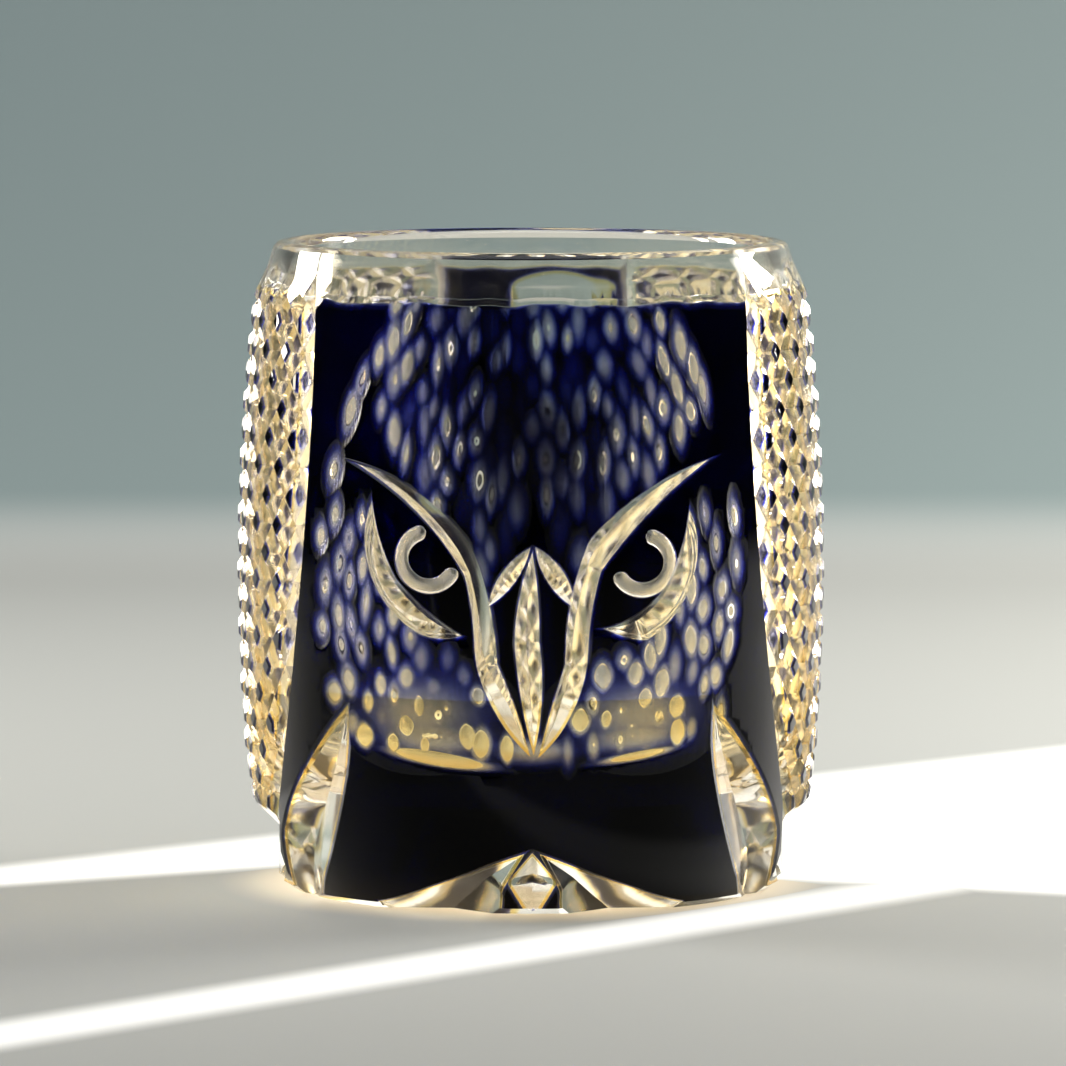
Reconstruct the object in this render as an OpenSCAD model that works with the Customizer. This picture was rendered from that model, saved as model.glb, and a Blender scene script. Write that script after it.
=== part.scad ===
// Cased and cut drinking tumbler with an owl cut through its front.
// Clear crystal vessel, a thin amber layer on it, and a cobalt blue layer outside.
// Origin: centre of the foot's underside. +Z is up, and the owl faces -Y.

/* [Vessel] */
// Overall height
glass_h = 92; // [84:1:100]
// Largest outer diameter, across the belly
belly_d = 84; // [80:1:90]
// Height of the largest diameter
belly_z = 45; // [42:1:48]
// Outer diameter of the lip
lip_d = 73.6; // [72:0.2:76]
// Height of the clear band under the lip
band_h = 7; // [5:0.5:9]
// Thickness of the solid base
base_t = 15; // [12:0.5:18]
// Thickness of the wall, casing included
wall_t = 4; // [3.5:0.1:5]
// Radius of the side's long upright curve
side_curve = 323; // [300:1:400]
// Radius of the heel's curve above the foot
heel_curve = 62; // [50:1:80]
// Radius of the polished edge round the foot
foot_edge = 1; // [0.6:0.1:1.5]

/* [Casing] */
// Thickness of the cobalt layer
blue_t = 0.3; // [0.2:0.05:0.6]
// Thickness of the amber layer
amber_t = 0.25; // [0.2:0.05:0.5]
// Width of amber left showing beside a cut
amber_lip = 0.3; // [0.2:0.05:0.4]
// Depth of the cuts into the clear glass
cut_depth = 0.8; // [0.4:0.1:1.2]

/* [Panels] */
// Half width of the front panel at its top
front_top = 30; // [28:0.2:31]
// Half width of the front panel where it meets the heel
front_low = 35.6; // [34.5:0.1:36]
// Half angle of the back panel
back_angle = 20; // [16:1:22]
// Diameter of the round window in the back panel
moon_d = 16.6; // [12:0.2:18]

/* [Wings] */
// Plain glass between the front panel and the first stud
wing_gap = 3.4; // [3:0.1:5]
// Last angle of the hobnail wing, counted from the front
wing_to = 151; // [130:1:152]
// Distance between studs in one row
stud_pitch = 6.9; // [6.5:0.1:7.5]
// Distance between rows of studs
row_pitch = 4.05; // [3.8:0.05:4.5]
// Width of a stud's blue top
stud_d = 2.4; // [2:0.1:3]
// Height of the lowest row of studs
wing_bottom = 15.5; // [15:0.5:18]
// Outer radius of the foot at the sides, under the wings
side_foot_r = 36.2; // [36:0.1:37]

/* [Hidden] */

CLEAR = [0.86, 0.87, 0.80, 0.45];
AMBER = [0.85, 0.55, 0.12];
BLUE = [0.02, 0.04, 0.25];

belly_r = belly_d / 2;
casing_t = blue_t + amber_t;
band_z = glass_h - band_h;
// Rings of the turned shapes, and points along each curved edge of a cut
rings = 14;
arc_n = 7;
// The casing starts this far above the foot's plane, so that the clear foot carries the glass
casing_z = 0.6;
heel_z = 20;
// Where the front panel's sides stop leaning out
front_low_z = 14;
lip_t = 3.2;
corner_r = 10;
far = 60;

// ---- Outer shape: a long side arc, and a tighter heel arc that meets it without a corner ----
function side_r(z) = belly_r - side_curve + sqrt(pow(side_curve, 2) - pow(z - belly_z, 2));
heel_lean = asin((belly_z - heel_z) / side_curve);
heel_cz = heel_z + heel_curve * sin(heel_lean);
heel_cr = side_r(heel_z) - heel_curve * cos(heel_lean);
function heel_r(z) = heel_cr + sqrt(pow(heel_curve, 2) - pow(z - heel_cz, 2));
function outer_r(z) = z < heel_z ? heel_r(z) : side_r(z);
function steps(a, b, n) = [for (i = [0 : n]) a + (b - a) * i / n];
// Half width of the front panel: a power curve that leans out a little towards the foot
function front_half(z) =
    front_top + (front_low - front_top) * pow((band_z - max(z, front_low_z)) / (band_z - front_low_z), 1.6);

// ---- Outlines of the cuts, as [x, z] seen from the front; round stretches are arcs ----
// Circle through three points: its centre
function arc_centre(a, b, c) =
    let (d = 2 * (a.x * (b.y - c.y) + b.x * (c.y - a.y) + c.x * (a.y - b.y)))
    [((a * a) * (b.y - c.y) + (b * b) * (c.y - a.y) + (c * c) * (a.y - b.y)) / d,
     ((a * a) * (c.x - b.x) + (b * b) * (a.x - c.x) + (c * c) * (b.x - a.x)) / d];
function turn(p, o) = atan2(p.y - o.y, p.x - o.x);
function wrap(t) = t - 360 * floor((t + 180) / 360);
// Points of the arc from a through b to c, with the last point left to the next stretch
function arc(a, b, c, n = arc_n) =
    let (o = arc_centre(a, b, c), r = norm(a - o), t0 = turn(a, o),
         t1 = wrap(turn(b, o) - t0), t2 = wrap(turn(c, o) - turn(b, o)))
    [for (i = [0 : n - 1]) let (t = t0 + (t1 + t2) * i / n) o + r * [cos(t), sin(t)]];

// Brow and beak line: upper edge from the brow tip down to the beak tip, then the lower edge back up
BROW_LEFT = concat(
    arc([-26.8, 63.6], [-16.3, 60.1], [-8.4, 53.1]), arc([-8.4, 53.1], [-5.8, 45.4], [-4.5, 36.4]),
    arc([-4.5, 36.4], [-2.6, 31.4], [0.4, 21.8]), arc([0.4, 21.8], [-4.8, 27.4], [-7.8, 36.3]),
    arc([-7.8, 36.3], [-8.2, 42.2], [-9.1, 47.3], 4), arc([-9.1, 47.3], [-15.3, 55.6], [-26.8, 63.6]));
BROW_RIGHT = concat(
    arc([27.0, 64.2], [16.9, 60.2], [8.1, 53.2]), arc([8.1, 53.2], [5.7, 45.4], [4.8, 36.4]),
    arc([4.8, 36.4], [3.2, 31.4], [0.4, 21.8]), arc([0.4, 21.8], [5.6, 27.4], [8.0, 36.3]),
    arc([8.0, 36.3], [8.5, 42.2], [9.6, 47.3], 4), arc([9.6, 47.3], [16.2, 55.3], [27.0, 64.2]));
// Crescent under each eye: outer edge, then inner edge
CHEEK_LEFT = concat(
    arc([-22.0, 59.2], [-23.4, 48.4], [-16.1, 38.9]), arc([-16.1, 38.9], [-12.4, 38.3], [-8.5, 39.3], 4),
    arc([-8.5, 39.3], [-13.2, 42.2], [-18.6, 47.3]), arc([-18.6, 47.3], [-20.9, 52.9], [-22.0, 59.2]));
CHEEK_RIGHT = concat(
    arc([22.0, 57.9], [23.5, 47.4], [16.6, 37.9]), arc([16.6, 37.9], [12.4, 38.9], [8.5, 40.6], 4),
    arc([8.5, 40.6], [14.5, 42.4], [18.8, 46.6]), arc([18.8, 46.6], [20.9, 51.9], [22.0, 57.9]));
// Stem and the two small leaves in the middle of the beak
STEM = concat(arc([0.3, 52.3], [-1.9, 45.0], [-2.6, 38.6]), arc([-2.6, 38.6], [-1.4, 29.2], [0.4, 21.6]),
    arc([0.4, 21.6], [1.9, 30.0], [1.6, 38.6]), arc([1.6, 38.6], [1.3, 46.0], [0.3, 52.3]));
BEAK_LEAVES = [
    concat(arc([0.3, 52.3], [-3.0, 50.0], [-5.2, 44.1]), arc([-5.2, 44.1], [-1.9, 46.9], [0.3, 52.3])),
    concat(arc([0.3, 52.3], [4.4, 49.4], [5.2, 44.0]), arc([5.2, 44.0], [1.9, 47.1], [0.3, 52.3]))];
// Large leaf cuts that rise from the foot at the sides of the panel: left edge, then right edge
LEAF_LEFT = concat(arc([-25.1, 30.2], [-31.0, 22.3], [-36.2, 9.8]), [[-36.6, 0], [-30.2, -1]],
    arc([-29.2, 0], [-25.9, 15.2], [-25.1, 30.2]));
LEAF_RIGHT = concat(arc([25.3, 30.9], [31.0, 23.2], [36.2, 10.8]), [[36.6, 0], [30.2, -1]],
    arc([28.9, 0], [25.0, 15.2], [25.3, 30.9]));
// Star notch in the middle of the foot
NOTCH = concat(arc([0.2, 9.5], [-8.6, 4.9], [-17.4, 0]), [[-17.4, -1], [16.2, -1]],
    arc([16.2, 0], [7.6, 5.2], [0.2, 9.5]));
// Eyes: a round-bottomed ring, open towards the beak
EYE_LEFT = [-14.2, 50.0];
EYE_RIGHT = [15.6, 49.4];
eye_d = 9.8;
pupil_d = 5.4;
eye_gap = 125;

module plate(points) {
    polygon(points);
}

// A part ring in the front view, open over the eye_gap angles from gap_at
module eye_outline(centre, gap_at) {
    translate(centre)
        polygon(concat(
            [for (t = steps(gap_at + eye_gap, gap_at + 360, 20)) eye_d / 2 * [cos(t), sin(t)]],
            [for (t = steps(gap_at + 360, gap_at + eye_gap, 20)) pupil_d / 2 * [cos(t), sin(t)]]));
}

// Everything cut through the front panel except the beak cells' surround
module face_cuts() {
    plate(CHEEK_LEFT);
    plate(CHEEK_RIGHT);
    plate(LEAF_LEFT);
    plate(LEAF_RIGHT);
    plate(NOTCH);
    eye_outline(EYE_LEFT, 330);
    eye_outline(EYE_RIGHT, 85);
}

module brow_cuts() {
    plate(BROW_LEFT);
    plate(BROW_RIGHT);
}

module beak_cuts() {
    plate(STEM);
    for (leaf = BEAK_LEAVES)
        plate(leaf);
}

// Between the two beak lines, from the brows to the beak tip
module beak_field() {
    polygon([[-5.2, 44.1], [0.3, 52.3], [5.4, 44], [6.2, 36], [0.4, 22], [-6, 36]]);
}

module front_outline() {
    zs = concat(steps(band_z, front_low_z, 10), [casing_z]);
    edge = [for (z = zs) [front_half(z), z]];
    polygon(concat(edge, [for (i = [len(edge) - 1 : -1 : 0]) [-edge[i].x, edge[i].y]]));
}

// Reeds on the back, as long pointed leaves that rise from the foot: [x, tip height, half width]
REEDS = [[-6.5, 62, 2.6], [1.5, 52, 3], [9, 58, 2.6]];
MOON = [5, 73];

module back_cuts() {
    translate(MOON)
        circle(d = moon_d, $fn = 48);
    for (reed = REEDS)
        polygon(concat(
            arc([reed.x, reed.y], [reed.x - reed.z, reed.y * 0.4], [reed.x - reed.z * 0.8, 0]), [[reed.x, -1]],
            arc([reed.x + reed.z * 0.8, 0], [reed.x + reed.z, reed.y * 0.4], [reed.x, reed.y])));
}

// ---- Carrying a front view outline through the wall ----
module front_prism() {
    rotate([90, 0, 0])
        linear_extrude(far)
            children();
}

module back_prism() {
    mirror([0, 1, 0])
        front_prism()
            children();
}

// Shell between two depths under the outer surface, from z0 to z1
module shell(depth0, depth1, z0, z1) {
    zs = concat(steps(z0, heel_z, 5), steps(heel_z, z1, rings));
    back_down = [for (i = [len(zs) - 1 : -1 : 0]) zs[i]];
    rotate_extrude($fn = 120)
        polygon(concat(
            [for (z = zs) [outer_r(z) - depth0, z]],
            [for (z = back_down) [outer_r(z) - depth1, z]]));
}

module amber_shell() {
    shell(blue_t, casing_t, casing_z, band_z);
}

module blue_shell() {
    shell(0, blue_t, casing_z, band_z);
}

// Under each wing the heel is ground in to a narrower foot
module side_heels() {
    intersection() {
        rotate_extrude($fn = 120)
            polygon([[side_foot_r, -1], [side_foot_r, 8.5], [belly_r, wing_bottom - 1.5], [far, wing_bottom],
                [far, -1]]);
        for (side = [-1, 1])
            translate([side * (front_low + 0.1 + far / 2), 0, 0])
                cube([far, 2 * far, far], center = true);
    }
}

// ---- Nodes ----
module crystal_body() {
    outer_zs = concat(steps(casing_z + foot_edge, heel_z, 5), steps(heel_z, band_z, rings));
    bore_zs = steps(band_z, base_t + corner_r, 9);
    corner_c = [outer_r(base_t + corner_r) - wall_t - corner_r, base_t + corner_r];
    lip_r = lip_d / 2;
    step_r = outer_r(band_z) - casing_t;
    foot_r = outer_r(casing_z) - casing_t - foot_edge;
    color(CLEAR)
        difference() {
            rotate_extrude($fn = 120)
                polygon(concat(
                    [[0, 0], [foot_r, 0]],
                    [for (z = outer_zs) [outer_r(z) - casing_t, z]],
                    [[(step_r + lip_r) / 2 - 0.2, band_z + band_h * 0.45], [lip_r, glass_h - lip_t / 2]],
                    [for (t = steps(20, 160, 6))
                        [lip_r - lip_t / 2 + lip_t / 2 * cos(t), glass_h - lip_t / 2 + lip_t / 2 * sin(t)]],
                    [for (z = bore_zs) [outer_r(z) - wall_t, z]],
                    [for (t = steps(-10, -90, 8)) corner_c + corner_r * [cos(t), sin(t)]],
                    [[0, base_t]]));
            intersection() {
                shell(casing_t - 0.1, casing_t + cut_depth, -1, band_z);
                union() {
                    front_prism() {
                        face_cuts();
                        brow_cuts();
                        beak_cuts();
                    }
                    back_prism()
                        back_cuts();
                }
            }
            side_heels();
        }
}

// A layer of the front panel, with the cuts wider by grow
module face_layer() {
    intersection() {
        children();
        front_prism()
            difference() {
                front_outline();
                face_cuts();
                brow_cuts();
                beak_cuts();
                beak_field();
            }
    }
}

// A layer of one beak cell: side is -1 on the left and 1 on the right
module beak_layer(side) {
    intersection() {
        children();
        front_prism()
            difference() {
                intersection() {
                    beak_field();
                    translate([side > 0 ? 0 : -far, 0])
                        square([far, glass_h]);
                }
                brow_cuts();
                beak_cuts();
            }
    }
}

module back_layer() {
    half = belly_r * sin(back_angle);
    intersection() {
        children();
        back_prism()
            difference() {
                translate([-half, 0])
                    square([2 * half, band_z]);
                back_cuts();
            }
    }
}

// Studs of one wing: side is 1 on the right and -1 on the left; each is an eight-sided pad
module wing_studs(side, width, depth, thick) {
    rows = floor((band_z - 2 - wing_bottom) / row_pitch);
    step_deg = stud_pitch / belly_r * 180 / PI;
    for (row = [0 : rows]) {
        z = wing_bottom + row * row_pitch;
        first = asin((front_half(z) + wing_gap) / outer_r(z));
        last = wing_to - (row % 2) * step_deg / 2;
        for (angle = [last : -step_deg : first])
            rotate([0, 0, side * angle - 90])
                translate([outer_r(z) - depth, 0, z])
                    rotate([0, 90, 0])
                        cylinder(d = width, h = thick, $fn = 8);
    }
}

module amber_face() {
    color(AMBER) face_layer() amber_shell();
}

module amber_beak_left() {
    color(AMBER) beak_layer(-1) amber_shell();
}

module amber_beak_right() {
    color(AMBER) beak_layer(1) amber_shell();
}

module amber_back() {
    color(AMBER) back_layer() amber_shell();
}

module amber_wing_left() {
    color(AMBER) wing_studs(-1, stud_d + 2 * amber_lip, casing_t, amber_t);
}

module amber_wing_right() {
    color(AMBER) wing_studs(1, stud_d + 2 * amber_lip, casing_t, amber_t);
}

module blue_face() {
    color(BLUE) face_layer() blue_shell();
}

module blue_beak_left() {
    color(BLUE) beak_layer(-1) blue_shell();
}

module blue_beak_right() {
    color(BLUE) beak_layer(1) blue_shell();
}

module blue_back() {
    color(BLUE) back_layer() blue_shell();
}

module blue_wing_left() {
    color(BLUE) wing_studs(-1, stud_d, blue_t, blue_t);
}

module blue_wing_right() {
    color(BLUE) wing_studs(1, stud_d, blue_t, blue_t);
}

crystal_body();
amber_face();
amber_beak_left();
amber_beak_right();
amber_back();
amber_wing_left();
amber_wing_right();
blue_face();
blue_beak_left();
blue_beak_right();
blue_back();
blue_wing_left();
blue_wing_right();
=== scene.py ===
import math

import bmesh
import bpy
import numpy as np
from bpy.props import FloatProperty, FloatVectorProperty, IntProperty, PointerProperty
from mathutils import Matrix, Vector


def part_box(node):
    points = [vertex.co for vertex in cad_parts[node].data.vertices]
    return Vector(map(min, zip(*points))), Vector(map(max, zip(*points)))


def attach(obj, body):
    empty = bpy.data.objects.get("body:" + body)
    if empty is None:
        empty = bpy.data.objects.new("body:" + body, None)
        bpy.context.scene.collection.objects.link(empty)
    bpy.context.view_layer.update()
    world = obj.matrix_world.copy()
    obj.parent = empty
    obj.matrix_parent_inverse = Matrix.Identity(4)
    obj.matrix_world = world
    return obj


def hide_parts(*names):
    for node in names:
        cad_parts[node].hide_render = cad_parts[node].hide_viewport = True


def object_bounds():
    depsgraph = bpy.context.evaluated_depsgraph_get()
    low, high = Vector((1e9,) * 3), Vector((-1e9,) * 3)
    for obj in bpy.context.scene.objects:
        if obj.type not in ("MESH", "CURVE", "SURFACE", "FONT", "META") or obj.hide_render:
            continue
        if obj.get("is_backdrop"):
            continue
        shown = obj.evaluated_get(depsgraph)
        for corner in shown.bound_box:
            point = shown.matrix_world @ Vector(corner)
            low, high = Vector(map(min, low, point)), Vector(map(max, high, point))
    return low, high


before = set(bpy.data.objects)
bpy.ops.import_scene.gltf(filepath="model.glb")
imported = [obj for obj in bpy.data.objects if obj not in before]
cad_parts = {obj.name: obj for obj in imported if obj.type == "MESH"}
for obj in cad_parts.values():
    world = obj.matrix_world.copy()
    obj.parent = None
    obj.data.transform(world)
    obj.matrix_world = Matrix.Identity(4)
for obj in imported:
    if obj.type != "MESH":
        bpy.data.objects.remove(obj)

bl_info = {
    "name": "Cased Owl Tumbler",
    "version": (1, 0, 0),
    "blender": (4, 5, 0),
    "location": "View3D > Sidebar > Tumbler",
    "description": "Turns three layers of glass and cuts an owl, hobnail wings and a star foot through them",
    "category": "Add Mesh",
}

MM = 0.001
CAD_LOW, CAD_HIGH = (list(map(float, corner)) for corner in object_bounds())
VESSEL_LOW, VESSEL_HIGH = (list(map(float, corner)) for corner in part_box("crystal_body"))


# ---------------------------------------------------------------- sizes and colours


class TumblerSizes(bpy.types.PropertyGroup):
    """Sizes of the blown and turned glass before it is cut."""

    height: FloatProperty(name="Height", description="Foot to lip", default=CAD_HIGH[2], unit="LENGTH")
    belly_radius: FloatProperty(
        name="Belly radius", description="Largest outer radius", default=0.042, unit="LENGTH")
    belly_height: FloatProperty(
        name="Belly height", description="Height of the largest radius", default=0.045, unit="LENGTH")
    side_curve: FloatProperty(
        name="Side curve", description="Radius of the side's upright arc", default=0.323, unit="LENGTH")
    heel_curve: FloatProperty(
        name="Heel curve", description="Radius of the arc above the foot", default=0.062, unit="LENGTH")
    heel_height: FloatProperty(
        name="Heel height", description="Where the two arcs meet", default=0.020, unit="LENGTH")
    band_bottom: FloatProperty(
        name="Band bottom", description="Height at which the clear rim band starts", default=0.085,
        unit="LENGTH")
    base: FloatProperty(name="Base", description="Thickness of the solid base", default=0.015, unit="LENGTH")
    wall: FloatProperty(name="Wall", description="Thickness of the wall", default=0.004, unit="LENGTH")
    corner: FloatProperty(
        name="Floor corner", description="Radius between cavity floor and wall", default=0.010, unit="LENGTH")
    blue: FloatProperty(name="Cobalt layer", description="Its thickness", default=0.0003, unit="LENGTH")
    amber: FloatProperty(name="Amber layer", description="Its thickness", default=0.00025, unit="LENGTH")
    segments: IntProperty(name="Segments", description="Steps round the turned glass", default=288, min=96)


class CutSizes(bpy.types.PropertyGroup):
    """Pitches and depths of the wheel cuts."""

    stud_pitch: FloatProperty(
        name="Stud pitch", description="Between studs in one row of a wing", default=0.0069, unit="LENGTH")
    row_pitch: FloatProperty(
        name="Row pitch", description="Between rows of a wing", default=0.00405, unit="LENGTH")
    stud_groove: FloatProperty(
        name="Wing groove", description="Width of the crossing grooves", default=0.0039, unit="LENGTH")
    stud_depth: FloatProperty(
        name="Wing depth", description="Depth of the crossing grooves", default=0.0013, unit="LENGTH")
    feather_width: FloatProperty(
        name="Feather width", description="Across one feather cut", default=0.0041, unit="LENGTH")
    feather_length: FloatProperty(
        name="Feather length", description="Along one feather cut", default=0.0100, unit="LENGTH")
    feather_depth: FloatProperty(
        name="Feather depth", description="At the middle of one feather cut", default=0.00030, unit="LENGTH")
    wing_end: FloatProperty(
        name="Wing end", description="Last angle of a wing, from the front", default=math.radians(153),
        subtype="ANGLE", unit="ROTATION")
    back_half: FloatProperty(
        name="Back panel", description="Half angle of the back panel", default=math.radians(20),
        subtype="ANGLE", unit="ROTATION")


class GlassLooks(bpy.types.PropertyGroup):
    """Colours and bending of the three glasses."""

    ior: FloatProperty(name="Index", description="Index of refraction of the crystal", default=1.53)
    crystal_tint: FloatVectorProperty(
        name="Crystal", description="Colour that the clear glass keeps", subtype="COLOR", size=3,
        default=(0.975, 0.96, 0.91))
    ground_tint: FloatVectorProperty(
        name="Feathers", description="Colour kept by the ground clear glass", subtype="COLOR", size=3,
        default=(0.93, 0.91, 0.86))
    # painted warm glow: a golden colour put on the clear crystal's wing grooves that stands in for sunlight
    # coming through the amber; clear glass keeps no such colour
    painted_wing_glow: FloatVectorProperty(
        name="Wing glow", description="Colour kept by the wings' clear grooves", subtype="COLOR", size=3,
        default=(0.94, 0.79, 0.50))
    amber_tint: FloatVectorProperty(
        name="Amber", description="Colour that the amber layer keeps", subtype="COLOR", size=3,
        default=(0.96, 0.72, 0.22))
    cobalt_tint: FloatVectorProperty(
        name="Cobalt", description="Colour that the cobalt layer keeps", subtype="COLOR", size=3,
        default=(0.00002, 0.00006, 0.025))


class StageLooks(bpy.types.PropertyGroup):
    """The camera, floor, backdrop and lamps."""

    camera_distance: FloatProperty(
        name="Camera distance", description="From the tumbler's axis", default=1.054, unit="LENGTH")
    camera_height: FloatProperty(
        name="Camera height", description="Above the floor", default=0.147, unit="LENGTH")
    view_angle: FloatProperty(
        name="View angle", description="Whole field of view", default=math.radians(8.25),
        subtype="ANGLE", unit="ROTATION")
    floor_colour: FloatVectorProperty(
        name="Floor", description="Pale floor", subtype="COLOR", size=3, default=(0.185, 0.196, 0.198))
    wall_colour: FloatVectorProperty(
        name="Backdrop", description="Colour high on the backdrop", subtype="COLOR", size=3,
        default=(0.090, 0.118, 0.124))
    # painted light: the patch of daylight and the warm glow under the foot are emission painted on the floor,
    # not light from a lamp
    daylight: FloatProperty(name="Daylight", description="Strength of the patch of light", default=0.9)
    glow: FloatProperty(name="Glow", description="Warm light under the foot", default=0.5)
    wall_light: FloatProperty(name="Backdrop light", description="How far it lights itself", default=0.35)
    room: FloatProperty(name="Room", description="Light from the horizon", default=0.03)
    sky: FloatProperty(name="Sky", description="Light from overhead", default=1.2)


# ---------------------------------------------------------------- the turned glass, in millimetres


def sizes():
    """The turned glass's sizes in millimetres, as a plain dictionary."""
    group = bpy.context.scene.tumbler_sizes
    return {key: getattr(group, key) / MM for key in TumblerSizes.__annotations__ if key != "segments"}


def outer_radius(z):
    """A long side arc about the belly, and below the heel height a tighter arc with the same tangent there."""
    s = sizes()
    z = np.clip(np.asarray(z, float), -40, 200)
    side = s["belly_radius"] - s["side_curve"]
    lean = math.asin((s["belly_height"] - s["heel_height"]) / s["side_curve"])
    joint = side + s["side_curve"] * math.cos(lean)
    centre_z = s["heel_height"] + s["heel_curve"] * math.sin(lean)
    centre_r = joint - s["heel_curve"] * math.cos(lean)
    upper = side + np.sqrt(s["side_curve"] ** 2 - (z - s["belly_height"]) ** 2)
    lower = centre_r + np.sqrt(np.maximum(s["heel_curve"] ** 2 - (z - centre_z) ** 2, 0))
    return np.where(z < s["heel_height"], lower, upper)


def on_glass(angle, z, depth=0.0):
    """Points at an angle from the front (towards +X) and a height, a depth under the outer surface."""
    r = outer_radius(z) - depth
    return np.stack([r * np.sin(angle), -r * np.cos(angle), np.asarray(z, float) + 0 * r], -1)


def outwards(angle, z):
    """The outer surface's normal: the radial direction, tipped by the profile's slope."""
    slope = (outer_radius(np.asarray(z) + 0.05) - outer_radius(np.asarray(z) - 0.05)) / 0.1
    n = np.stack([np.sin(angle), -np.cos(angle), -slope], -1)
    return n / np.linalg.norm(n, axis=-1, keepdims=True)


def seen_from_front(points):
    """Turns [x, z] points in the front view into [angle, z] on the glass."""
    points = np.asarray(points, float)
    return np.stack([np.arcsin(points[:, 0] / outer_radius(points[:, 1])), points[:, 1]], -1)


def arc(a, b, c, count=24):
    """Points along the circle from a through b to c."""
    a, b, c = (np.array(p, float) for p in (a, b, c))
    d = 2 * (a[0] * (b[1] - c[1]) + b[0] * (c[1] - a[1]) + c[0] * (a[1] - b[1]))
    squares = [p @ p for p in (a, b, c)]
    centre = np.array([
        squares[0] * (b[1] - c[1]) + squares[1] * (c[1] - a[1]) + squares[2] * (a[1] - b[1]),
        squares[0] * (c[0] - b[0]) + squares[1] * (a[0] - c[0]) + squares[2] * (b[0] - a[0])]) / d
    turn = [math.atan2(*(p - centre)[::-1]) for p in (a, b, c)]
    first = (turn[1] - turn[0] + math.pi) % (2 * math.pi) - math.pi
    second = (turn[2] - turn[1] + math.pi) % (2 * math.pi) - math.pi
    t = turn[0] + (first + second) * np.linspace(0, 1, count)
    return centre + np.linalg.norm(a - centre) * np.stack([np.cos(t), np.sin(t)], -1)


def spaced(stretches, count):
    """One line through all the stretches, with points at even distances along it."""
    points = np.concatenate([np.asarray(s, float) for s in stretches])
    steps = np.linalg.norm(np.diff(points, axis=0), axis=1)
    keep = np.concatenate([[True], steps > 1e-6])
    points = points[keep]
    along = np.concatenate([[0], np.cumsum(np.linalg.norm(np.diff(points, axis=0), axis=1))])
    at = np.linspace(0, along[-1], count)
    return np.stack([np.interp(at, along, points[:, k]) for k in range(2)], -1)


# ---------------------------------------------------------------- closed shapes


def volume(points, faces):
    """Six times the signed volume, from each face's fan of triangles."""
    total = 0.0
    for size in {len(f) for f in faces}:
        f = np.array([f for f in faces if len(f) == size])
        a = points[f[:, 0]]
        for k in range(1, size - 1):
            total += np.einsum("ij,ij->", a, np.cross(points[f[:, k]], points[f[:, k + 1]]))
    return total


def closed(points, faces):
    """The shape with its faces turned outwards."""
    faces = [tuple(f) for f in faces]
    if volume(points, faces) < 0:
        faces = [f[::-1] for f in faces]
    return points, faces


def quads(m, n, rows=None, columns=None):
    """The faces between m rows of n points. Each row closes on itself unless told fewer columns,
    and with m rows asked for the last one joins the first."""
    i, j = np.meshgrid(np.arange(rows or m - 1), np.arange(columns or n), indexing="ij")
    i2, j2 = (i + 1) % m, (j + 1) % n
    return np.stack([i * n + j, i * n + j2, i2 * n + j2, i2 * n + j], -1).reshape(-1, 4).tolist()


def fans(m, n):
    """Triangles from the first and last of m rows to the two points that follow the rows."""
    a = np.arange(n)
    b, far = (a + 1) % n, (m - 1) * n
    first = np.stack([b, a, 0 * a + m * n], -1)
    return first.tolist() + np.stack([far + a, far + b, 0 * a + m * n + 1], -1).tolist()


def carried(sections):
    """A closed shape from a profile carried along a path: sections is stations by corners by 3."""
    n, m = sections.shape[:2]
    ends = [tuple(range(m - 1, -1, -1)), tuple(range((n - 1) * m, n * m))]
    return closed(sections.reshape(-1, 3), quads(n, m) + ends)


def revolved(profile, segments):
    """A closed ring of a closed [r, z] outline, or a solid where its ends are on the axis."""
    profile = np.asarray(profile, float)
    t = np.linspace(0, 2 * math.pi, segments, endpoint=False)
    on_axis = profile[0, 0] < 1e-9 and profile[-1, 0] < 1e-9
    rings = profile[1:-1] if on_axis else profile
    grid = np.stack([
        rings[:, None, 0] * np.sin(t), -rings[:, None, 0] * np.cos(t), rings[:, None, 1] + 0 * t], -1)
    m, n = grid.shape[:2]
    points = grid.reshape(-1, 3)
    if not on_axis:
        return closed(points, quads(m, n, m))
    ends = [[0, 0, profile[0, 1]], [0, 0, profile[-1, 1]]]
    return closed(np.concatenate([points, ends]), quads(m, n) + fans(m, n))


def joined(shapes):
    """Several closed shapes that don't touch, as one."""
    points, faces, start = [], [], 0
    for p, f in shapes:
        points.append(p)
        faces += [tuple(k + start for k in face) for face in f]
        start += len(p)
    return np.concatenate(points), faces


def solid(name, shape, material):
    """Puts a closed shape, in millimetres, into a new object in metres."""
    points, faces = shape
    mesh = bpy.data.meshes.new(name)
    mesh.from_pydata((points * MM).tolist(), [], faces)
    mesh.materials.append(material)
    piece = bpy.data.objects.new(name, mesh)
    bpy.context.scene.collection.objects.link(piece)
    return piece


def combined(piece, tool, operation):
    """Joins the tool to the piece, or cuts the piece with it; each new face keeps its own material."""
    step = piece.modifiers.new("cut", "BOOLEAN")
    step.solver = "MANIFOLD"
    step.operation = operation
    step.material_mode = "TRANSFER"
    step.object = tool
    graph = bpy.context.evaluated_depsgraph_get()
    mesh = bpy.data.meshes.new_from_object(piece.evaluated_get(graph))
    piece.modifiers.clear()
    old = piece.data
    piece.data = mesh
    bpy.data.meshes.remove(old)
    return piece


# ---------------------------------------------------------------- wheel cuts

LIFT = 0.5  # how far a groove's lid stands clear of the glass


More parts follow.
